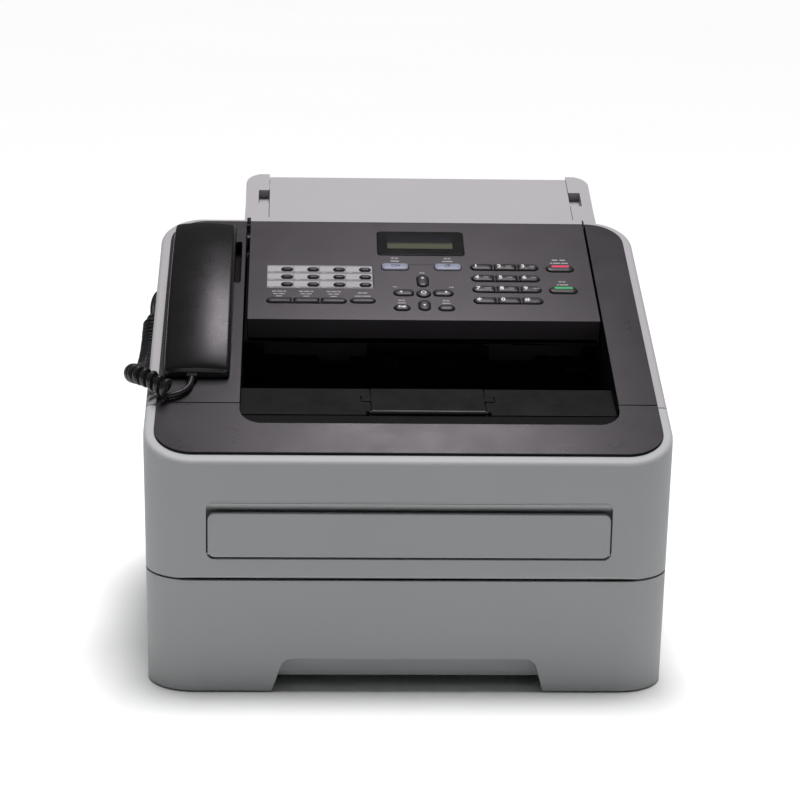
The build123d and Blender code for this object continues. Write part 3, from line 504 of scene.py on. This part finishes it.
# faces sunk below w = -1.3 and those across the tray band take the blacker grained plastic; darkening the sunk faces
# is painted shade
refine("top_inner_cover", CHAR, bevel=0.0003, second=GRAINY, where=lambda x, u, w: w < -1.3 or -120.6 < x < 151.8)
# faces sunk below w = 1.6 (walls, finger scoop, recesses) take the black: painted shade in the recesses
refine("front_cover_trim", CHAR, bevel=0.0003, second=BLACK, where=lambda x, u, w: w < 1.6)
refine("control_panel_case", PANEL, bevel=0.0004)
refine("document_chute", BLACK, bevel=0.0002)
# satin for the flap's hinge barrel; its colour, lighter than the flap, is a painted highlight on the rounded top
BARREL_PAINTED_HIGHLIGHT = plastic("flap_barrel_satin_painted_highlight", (0.030, 0.030, 0.031), rough=0.34, spec=0.5, mottle=0.10, mottle_size=0.01,
                 rvar=0.06, grain=0.0008, grain_d=1.5e-5)
# faces round the hinge barrel take the lighter satin: painted highlight
refine("output_flap", GRAINY, bevel=0.0003, second=BARREL_PAINTED_HIGHLIGHT,
       where=lambda x, u, w: (u - 68.06) ** 2 + (w + 7.74) ** 2 < 4.7)
refine("handset_inner_shell", HAND, bevel=0.0008)
for n in ("paper_guide_left", "paper_guide_right", "document_guide_left", "document_guide_right", "hook_switch"):
    refine(n, BLACK, bevel=0.0003)
refine("lcd_window", LCDB)
# plug darkened to near black so it sinks into the shade under the handset front: painted shade
refine("handset_plug", plastic("plug_near_black_painted_shade", (0.006, 0.006, 0.0062), rough=0.38, spec=0.2), bevel=0.0003)
refine("drum_unit", DRUMM, bevel=0.0008)
refine("toner_cartridge", TONER, bevel=0.0008)
refine("image_sensor", PALEROLL, bevel=0.0003)
refine("paper_lift_plate", STEEL, bevel=0.0002)
refine("main_board", BOARD, bevel=0.0002)
for n in ("exit_roller", "pickup_roller", "document_feed_roller"):
    refine(n, RUBBER, bevel=0.0003)
refine("rubber_feet", RUBBER, bevel=0.0003)
refine("case_screws", STEEL, bevel=0.0001)

# ------------------------------------------------------------------- keys
KEYS = {}
ROWS = {245.2: ("1", "2", "3"), 229.4: ("4", "5", "6"), 214.1: ("7", "8", "9"), 198.6: ("star", "0", "hash")}
for uc, names in ROWS.items():
    KEYS["key_" + names[0]] = (54.9, uc - 4.1, 71.3, uc + 4.1, 4.0, 0.8)
    KEYS["key_" + names[1]] = (73.2, uc - 4.1, 89.5, uc + 4.1, 0.8, 0.8)
    KEYS["key_" + names[2]] = (91.4, uc - 4.1, 106.8, uc + 4.1, 0.8, 4.0)
KEYS.update({
    "hold_key": (-101.0, 193.6, -82.6, 200.2, 3.2, 0.8),
    "redial_key": (-80.6, 193.6, -62.0, 200.2, 0.8, 0.8),
    "fax_auto_key": (-60.0, 193.6, -41.4, 200.2, 0.8, 3.2),
    "copy_options_key": (-38.1, 194.0, -19.7, 200.6, 3.2, 3.2),
    "fax_mode_key": (-13.3, 240.4, 6.9, 249.4, 3.0, 3.0),
    "copy_mode_key": (27.3, 240.4, 47.5, 249.4, 3.0, 3.0),
    "up_key": (13.0, 217.2, 21.4, 233.2, 4.1, 4.1),
    "down_key": (13.0, 184.6, 21.4, 198.2, 4.1, 4.1),
    "left_key": (-5.2, 204.4, 9.4, 212.6, 4.0, 2.6),
    "right_key": (25.0, 204.4, 39.6, 212.6, 2.6, 4.0),
    "ok_key": (12.1, 202.4, 22.3, 212.6, 5.0, 5.0),
    "clear_key": (-5.6, 184.4, 6.2, 191.8, 3.6, 3.6),
    "menu_key": (27.8, 184.4, 39.6, 191.8, 3.6, 3.6),
    "stop_key": (113.1, 239.6, 134.1, 248.0, 4.0, 4.0),
    "start_key": (113.1, 209.2, 134.1, 217.6, 4.0, 4.0),
})
ONE_TOUCH = [(x - 4.2, u - 2.6, x + 4.2, u + 2.6, 2.4, 2.4)
             for u in (240.8, 230.2, 219.6) for x in (-85.9, -66.0, -46.2, -26.4)]


def key_loop(k, grow, n=7):
    x0, u0, x1, u1, ra, rb = k
    return rounded(x0 - grow, u0 - grow, x1 + grow, u1 + grow, max(0.15, ra + grow), n, rb=max(0.15, rb + grow))


def add_key(bm, k, top=3.4, dome=1.0):
    """Key cap with its flange below the panel and a crowned top."""
    x0, u0, x1, u1 = k[:4]
    half = min(x1 - x0, u1 - u0) / 2
    rings = [(0.8, -3.0), (0.8, -1.5), (0.0, -1.5), (0.0, top - 1.15), (-0.05, top - 0.9), (-0.2, top - 0.66),
             (-0.45, top - 0.47), (-0.85, top - 0.32), (-half * 0.42, top - 0.14), (-half * 0.62, top - 0.05),
             (-half * 0.8, top)]
    rows = []
    for grow, w in rings:
        rows.append([bm.verts.new(S(x, u, w)) for x, u in key_loop(k, grow)])
    for a, b in zip(rows, rows[1:]):
        n = len(a)
        for i in range(n):
            j = (i + 1) % n
            bm.faces.new((a[i], a[j], b[j], b[i]))
    bm.faces.new(rows[-1])
    bm.faces.new(list(reversed(rows[0])))


for name, k in KEYS.items():
    bm = bmesh.new()
    add_key(bm, k)
    blue = name in ("fax_mode_key", "copy_mode_key")
    ob = finish_mesh(bm, name + "_cap", KEYBLUE if blue else KEYB, name, angle=50)
    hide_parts(name)
bm = bmesh.new()
for k in ONE_TOUCH:
    add_key(bm, k, top=3.0)
ob = finish_mesh(bm, "one_touch_caps", KEYB, "one_touch_keys", angle=50)
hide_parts("one_touch_keys")


def legend(name, text, x, u, w, size, body, mat=LEGEND, squash=1.0, align="CENTER", depth=0.05, wide=1.0):
    """Printed figure lying on the deck at (x, u, w), size in mm."""
    cu = bpy.data.curves.new(name + "_font", "FONT")
    cu.body = text
    cu.size = size * MM
    cu.extrude = depth * MM
    cu.resolution_u = 4
    cu.align_x, cu.align_y = align, "CENTER"
    cu.offset = 0.00017
    tmp = link(bpy.data.objects.new(name + "_tmp", cu))
    dg = bpy.context.evaluated_depsgraph_get()
    me = bpy.data.meshes.new_from_object(tmp.evaluated_get(dg), depsgraph=dg)
    drop(tmp)
    me.name = name
    me.transform(Matrix.Translation(S(x, u, w)) @ SLOPE.to_3x3().to_4x4() @ Matrix.Diagonal((wide, squash, 1, 1)))
    me.materials.clear()
    me.materials.append(mat)
    bm = bmesh.new()
    bm.from_mesh(me)
    bmesh.ops.remove_doubles(bm, verts=bm.verts, dist=2e-6)
    bm.to_mesh(me)
    bm.free()
    ob = link(bpy.data.objects.new(name, me))
    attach(ob, body)
    return ob


GLYPH = {"star": "*", "hash": "#"}
TAILS = {"2": 3, "3": 3, "4": 3, "5": 3, "6": 3, "7": 4, "8": 3, "9": 4}
for uc, names in ROWS.items():
    for n in names:
        k = KEYS["key_" + n]
        gx = k[0] + (4.0 if n in ("1", "4", "7", "star") else 3.6)
        star = n == "star"
        legend("legend_" + n, GLYPH.get(n, n), gx, uc + (-1.2 if star else 0.3), 3.36, 8.0 if star else 5.6, "key_" + n, wide=1.12)
        if n in TAILS:
            cnt, bm = TAILS[n], bmesh.new()
            for i in range(cnt):
                x = k[0] + 9.0 + i * 1.35
                add_plate(bm, [(x, uc - 0.3), (x + 0.85, uc - 0.3), (x + 0.85, uc + 0.9), (x, uc + 0.9)], 3.25, 3.415)
            finish_mesh(bm, "dial_marks_" + n, LEGEND_DIM, "key_" + n)


def tri(cx, cu, r, a0):
    return [(cx + r * math.cos(math.radians(a0 + 120 * i)), cu + r * math.sin(math.radians(a0 + 120 * i))) for i in range(3)]


for n, cx, cu, a0 in (("up_key", 17.2, 227.6, 90), ("down_key", 17.2, 190.6, 270), ("left_key", 0.2, 208.5, 180), ("right_key", 34.2, 208.5, 0)):
    plates("arrow_" + n, [(tri(cx, cu, 1.5, a0), 3.25, 3.44)], LEGEND, n)
ring = [(17.2 + 2.1 * math.cos(math.radians(a)), 207.6 + 2.1 * math.sin(math.radians(a))) for a in range(0, 360, 15)]
hole = [(17.2 + 1.35 * math.cos(math.radians(a)), 207.6 + 1.35 * math.sin(math.radians(a))) for a in range(0, 360, 15)]
plates("mark_ok_key", [(ring, 3.25, 3.44, [hole])], LEGEND, "ok_key")
plates("mark_clear_key", [([(-2.9, 188.4), (-1.2, 189.7), (-1.2, 188.8), (2.4, 188.8), (2.4, 186.6), (3.1, 186.6), (3.1, 189.4),
                            (3.1, 189.5), (-1.2, 189.5 - 1.4), (-1.2, 187.1)], 3.25, 3.43)], LEGEND, "clear_key")
plates("bar_stop_key", [(rounded(117.2, 244.2, 130.8, 247.0, 0.7), 2.9, 3.43)], RED, "stop_key")
plates("bar_start_key", [(rounded(117.0, 213.8, 130.9, 216.6, 0.7), 2.9, 3.43)], GREEN, "start_key")
# small document pictograms on the two mode keys
plates("mark_fax_mode_key", [(rounded(-6.0, 243.7, -1.6, 246.3, 0.4), 3.2, 3.43, [rounded(-5.4, 244.2, -2.2, 245.8, 0.3)]),
                             (rounded(-1.1, 244.3, 0.6, 246.0, 0.3), 3.2, 3.43)], LEGEND_NAVY, "fax_mode_key")
plates("mark_copy_mode_key", [(rounded(35.4, 243.3, 38.4, 246.7, 0.3), 3.2, 3.43, [rounded(35.9, 243.8, 37.9, 246.2, 0.2)]),
                              (rounded(38.7, 244.3, 39.3, 247.1, 0.1), 3.2, 3.43), (rounded(36.6, 247.0, 39.3, 247.4, 0.1), 3.2, 3.43)],
       LEGEND_NAVY, "copy_mode_key")

# -------------------------------------------------- printing on the panel
W0, W1 = 1.9, 2.06


def dashes(x, u, widths, h=0.9, gap=0.7):
    """A line of plain dashes standing in for a caption, centred on x."""
    full = sum(widths) + gap * (len(widths) - 1)
    x -= full / 2
    out = []
    for wd in widths:
        out.append((rounded(x, u - h / 2, x + wd, u + h / 2, 0.25, 2), W0, W1))
        x += wd + gap
    return out


marks = []
for x in (-91.8, -71.3, -50.7):
    marks += dashes(x, 209.6, (3.2, 4.0, 2.2), 1.3) + dashes(x, 206.2, (3.6, 4.4), 1.2) + dashes(x, 203.0, (4.8,), 1.2)
marks += dashes(-28.9, 208.0, (3.0, 3.4), 1.4) + dashes(-28.9, 203.6, (5.0, 6.4), 1.3)
marks += dashes(-3.2, 257.6, (2.3, 2.3), 1.8) + dashes(-3.2, 253.4, (6.6,), 1.6)
marks += dashes(37.4, 257.6, (2.3, 2.3), 1.8) + dashes(37.4, 253.4, (8.2,), 1.6)
marks += dashes(17.2, 236.8, (1.6, 1.6), 1.6, 0.4)
marks += dashes(-4.0, 217.0, (1.8, 0.8), 1.4, 0.5) + dashes(38.6, 217.0, (1.0, 1.8), 1.4, 0.5)
marks += dashes(0.3, 198.4, (2.0, 2.0), 1.6) + dashes(0.3, 194.8, (6.0,), 1.2)
marks += dashes(33.7, 198.4, (2.0, 2.0), 1.6) + dashes(33.7, 194.8, (6.2,), 1.2)
marks += dashes(123.6, 256.6, (4.4, 4.4), 1.6, 1.6) + dashes(123.6, 252.2, (1.6, 5.6, 5.2), 1.5)
marks += dashes(123.6, 225.8, (2.2, 2.2), 1.6) + dashes(123.6, 221.6, (1.6, 6.4), 1.5)
plates("panel_captions", marks, LEGEND_DIM, "control_panel")
plates("panel_link_line", [([(6.9, 248.3), (27.3, 248.3), (27.3, 248.75), (6.9, 248.75)], W0, 2.02)], BLACK, "control_panel")

# outline of a darker disc behind the arrow keys, with holes for the keys; no plate is built from them
disc = [(17.2 + 17.5 * math.cos(math.radians(a)), 207.6 + 13.0 * math.sin(math.radians(a))) for a in range(0, 360, 6)]
holes = [key_loop(KEYS[n], 0.5) for n in ("up_key", "down_key", "left_key", "right_key", "ok_key")]

# walls between the keys of one pill
ribs = []
for u0, u1, xs in ((193.2, 200.6, (-81.6, -61.0)),):
    for x in xs:
        ribs.append((rounded(x - 0.62, u0, x + 0.62, u1, 0.3, 2), 1.6, 2.9))
for uc in ROWS:
    for x in (72.25, 90.45):
        ribs.append((rounded(x - 0.6, uc - 4.3, x + 0.6, uc + 4.3, 0.3, 2), 1.6, 2.95))
plates("key_row_ribs", ribs, KEYB, "control_panel")

# display glass area; its gradient carries painted bezel shade at the top
plates("display_screen_area", [(rounded(-8.3, 271.0, 42.4, 289.0, 0.5, 3), 2.3, 2.56)], SCREEN_PAINTED_SHADE, "control_panel")

# card under the one-touch keys: 3 rows of 4 cells
card_holes = [key_loop(k, 0.45) for k in ONE_TOUCH]
plates("name_card", [(rounded(-101.2, 214.8, -20.6, 247.2, 1.3, 5), 1.32, 1.62, card_holes)], CARDD, "control_panel")
cells, greek = [], []
CX = (-101.0, -80.9, -61.1, -41.3, -20.8)
for r_, uc in enumerate((240.8, 230.2, 219.6)):
    for c_ in range(4):
        x0, x1 = CX[c_] + 0.35, CX[c_ + 1] - 0.35
        kx = ONE_TOUCH[r_ * 4 + c_]
        hl = key_loop(kx, 0.45)
        u0, u1 = uc - 2.9, uc + 4.6
        # cell outline with a bay for the key at its right
        cells.append((rounded(x0, u0, x1, u1, 0.4, 2), 1.6, 1.72, [hl]))
        greek.append((rounded(x0 + 1.2, uc - 4.5, x0 + 4.6, uc - 3.4, 0.3, 2), 1.6, 1.74))
        greek.append((rounded(x0 + 4.2, uc + 2.2, x0 + 4.8, uc + 2.8, 0.2, 2), 1.6, 1.76))
plates("card_cells", cells, CARDM, "control_panel")
plates("card_marks", greek, LEGEND_DIM, "control_panel")
x0 = CX[3] + 1.2
plates("card_shift_mark", [(rounded(x0, 217.0, x0 + 7.6, 221.8, 2.3, 5), 1.7, 1.8, [rounded(x0 + 0.45, 217.45, x0 + 7.15, 221.35, 1.9, 5)])],
       LEGEND_DIM, "control_panel")

# pale strip along the panel's rear edge
bm = bmesh.new()
prof = [(310.3, 1.96), (310.3, 2.2), (316.3, 2.2), (317.1, 1.86), (317.5, 1.1), (317.5, -4.0), (317.28, -4.0),
        (317.28, 0.98), (316.98, 1.68), (316.28, 1.96)]
xs = [-114.9, -114.6, 147.1, 147.4]
rows = []
for i, x in enumerate(xs):
    rows.append([bm.verts.new(S(x, u, w)) for u, w in prof])
for a, b in zip(rows, rows[1:]):
    n = len(a)
    for i in range(n):
        j = (i + 1) % n
        bm.faces.new((a[i], a[j], b[j], b[i]))
bm.faces.new(rows[0])
bm.faces.new(list(reversed(rows[-1])))
# strip in the lighter copy of the case grey: painted light
finish_mesh(bm, "panel_rear_strip", CASE_RIM_LIT, "control_panel")


# ----------------------------------------------------------------- handset
def catmull(pts, n=6):
    out = []
    P = [pts[0]] + list(pts) + [pts[-1]]
    for i in range(1, len(P) - 2):
        a, b, c, d = P[i - 1], P[i], P[i + 1], P[i + 2]
        for j in range(n):
            t = j / n
            out.append(tuple(0.5 * ((2 * b[k]) + (-a[k] + c[k]) * t + (2 * a[k] - 5 * b[k] + 4 * c[k] - d[k]) * t * t
                                    + (-a[k] + 3 * b[k] - 3 * c[k] + d[k]) * t ** 3) for k in (0, 1)))
    out.append(pts[-1])
    return out


HS = [(95.6, 9.0), (99, 12.2), (118, 16.6), (145, 20.6), (175, 23.2), (205, 24.2), (235, 23.8), (258, 22.0),
      (272, 19.6), (284, 15.9), (291.2, 11.9), (296.5, 6.6)]
prof = [(95.0, 3.6), (95.0, 5.6), (95.0, 7.4), (95.15, 8.3)] + catmull(HS, 5) + [(296.9, 5.2), (297.0, 3.6)]
X0, X1, RP, RS, WB = -172.4, -125.5, 3.6, 3.2, 3.2
xm = (X0 + X1) / 2
half = (X1 - X0) / 2
bm = bmesh.new()
rows = []
NA, NC = 6, 12
for u, wt in prof:
    d0 = min(u - 95.0, 297.0 - u)
    if d0 < RP:
        hw = half - RP + math.sqrt(max(0.0, RP * RP - (RP - max(d0, 0.0)) ** 2))
    else:
        hw = half
    hw -= 0.8 * max(0.0, 1 - abs(u - 95) / 14) * 0.5
    rs = min(RS, max(0.12, (wt - WB) * 0.75))
    crown = 1.7 * min(1.0, max(0.0, (wt - WB - rs)) / 6)
    sec = [(-hw, WB)]
    for i in range(NA + 1):
        a = math.radians(90.0 * i / NA)
        sec.append((-hw + rs * (1 - math.cos(a)), wt - crown - rs + rs * math.sin(a)))
    for i in range(1, NC):
        x = -(hw - rs) + 2 * (hw - rs) * i / NC
        q = x / (hw - rs)
        sec.append((x, wt - crown * q * q))
    for i in range(NA + 1):
        a = math.radians(90.0 - 90.0 * i / NA)
        sec.append((hw - rs * (1 - math.cos(a)), wt - crown - rs + rs * math.sin(a)))
    sec.append((hw, WB))
    rows.append([bm.verts.new(S(xm + x, u, max(w, WB))) for x, w in sec])
for a, b in zip(rows, rows[1:]):
    for i in range(len(a) - 1):
        bm.faces.new((a[i], a[i + 1], b[i + 1], b[i]))
bm.faces.new(rows[0])
bm.faces.new(list(reversed(rows[-1])))
under = [r[0] for r in rows] + [r[-1] for r in reversed(rows)]
bm.faces.new(under)
bmesh.ops.remove_doubles(bm, verts=bm.verts, dist=2e-6)
ob = finish_mesh(bm, "handset_outer_body", HAND, "handset", angle=48)
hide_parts("handset_outer_shell")

# --------------------------------------------------- sockets at the rear
def box_bm(bm, x0, x1, y0, y1, z0, z1):
    v = [bm.verts.new(Vector(p) * MM) for p in ((x0, y0, z0), (x1, y0, z0), (x1, y1, z0), (x0, y1, z0),
                                                (x0, y0, z1), (x1, y0, z1), (x1, y1, z1), (x0, y1, z1))]
    for f in ((0, 3, 2, 1), (4, 5, 6, 7), (0, 1, 5, 4), (1, 2, 6, 5), (2, 3, 7, 6), (3, 0, 4, 7)):
        bm.faces.new([v[i] for i in f])


for tag, zc in (("line", 46.0), ("extension", 66.0)):
    bm = bmesh.new()
    # box open to the rear, made of five walls, with a latch step at the bottom
    box_bm(bm, -158.6, -143.4, 156.0, 157.2, zc - 6.8, zc + 6.8)
    box_bm(bm, -158.6, -157.0, 157.2, 168.6, zc - 6.8, zc + 6.8)
    box_bm(bm, -145.0, -143.4, 157.2, 168.6, zc - 6.8, zc + 6.8)
    box_bm(bm, -157.0, -145.0, 157.2, 168.6, zc + 5.2, zc + 6.8)
    box_bm(bm, -157.0, -145.0, 157.2, 168.6, zc - 6.8, zc - 4.6)
    box_bm(bm, -157.0, -153.2, 157.2, 168.6, zc - 4.6, zc - 2.6)
    box_bm(bm, -148.8, -145.0, 157.2, 168.6, zc - 4.6, zc - 2.6)
    finish_mesh(bm, tag + "_jack_body", BLACK, "root")
    bm = bmesh.new()
    for i in range(4):
        x = -153.0 + i * 1.27
        box_bm(bm, x - 0.2, x + 0.2, 157.4, 165.0, zc + 3.4, zc + 3.8)
    finish_mesh(bm, tag + "_jack_contacts", GOLD, "root")
bm = bmesh.new()
box_bm(bm, 127.4, 152.6, 152.0, 153.4, 33.4, 54.6)
box_bm(bm, 127.4, 129.0, 153.4, 168.6, 33.4, 54.6)
box_bm(bm, 151.0, 152.6, 153.4, 168.6, 33.4, 54.6)
box_bm(bm, 129.0, 151.0, 153.4, 168.6, 53.0, 54.6)
box_bm(bm, 129.0, 151.0, 153.4, 168.6, 33.4, 35.0)
finish_mesh(bm, "power_inlet_body", BLACK, "root")
bm = bmesh.new()
for x, z in ((133.6, 42.6), (140.0, 46.6), (146.4, 42.6)):
    box_bm(bm, x - 1.0, x + 1.0, 153.4, 166.4, z - 2.0, z + 2.0)
bmesh.ops.bevel(bm, geom=list(bm.edges), offset=0.0003, segments=2, profile=0.5, affect="EDGES")
finish_mesh(bm, "power_inlet_pins", STEEL, "root")

# stepped edge of the main case behind the rear cover's seam
bm = bmesh.new()
for x0, x1, z0, z1 in ((-123.0, -117.4, 104.0, 187.0), (117.4, 123.0, 104.0, 187.0), (-117.4, 117.4, 182.6, 187.0)):
    box_bm(bm, x0, x1, 165.4, 167.8, z0, z1)
finish_mesh(bm, "rear_opening_step", BLACK, "root")

# ---------------------------------------------------------- floor and light
bm = bmesh.new()
vs = [bm.verts.new(p) for p in ((-20, -20, 0), (20, -20, 0), (20, 30, 0), (-20, 30, 0))]
bm.faces.new(vs)
me = bpy.data.meshes.new("floor")
bm.to_mesh(me)
bm.free()
floor = link(bpy.data.objects.new("floor", me))
FLOOR = plastic("floor_pale", (0.93, 0.93, 0.93), rough=0.75, spec=0.15, mottle=0.006, mottle_size=0.8, grain=0.004, grain_d=2e-5)
me.materials.append(FLOOR)

world = bpy.data.worlds.new("studio")
scene.world = world
world.use_nodes = True
world.node_tree.nodes["Background"].inputs["Color"].default_value = (0.97, 0.98, 1.0, 1)
world.node_tree.nodes["Background"].inputs["Strength"].default_value = 0.07


def area(name, loc, target, size_x, size_y, power, colour=(1, 1, 1)):
    li = bpy.data.lights.new(name, "AREA")
    li.shape = "RECTANGLE"
    li.size, li.size_y = size_x, size_y
    li.energy = power
    li.color = colour
    ob = link(bpy.data.objects.new(name, li))
    ob.location = loc
    ob.rotation_mode = "QUATERNION"
    ob.rotation_quaternion = (Vector(target) - Vector(loc)).to_track_quat("-Z", "Y")
    return ob


sun = bpy.data.lights.new("overhead", "SUN")
sun.energy = 3.3
sun.angle = math.radians(24)
sun_ob = link(bpy.data.objects.new("overhead", sun))
sun_ob.rotation_mode = "QUATERNION"
sun_ob.rotation_quaternion = Vector((-0.03, -0.10, -1.0)).to_track_quat("-Z", "Y")
sun_ob.visible_glossy = False
area("softbox_top", (0.09, 0.46, 1.65), (0.09, 0.2, 0.25), 0.36, 0.60, 5.4, (1.0, 0.93, 0.99))

scene.view_settings.view_transform = "Standard"
scene.view_settings.look = "None"
scene.view_settings.exposure = 0.0
scene.view_settings.gamma = 1.0
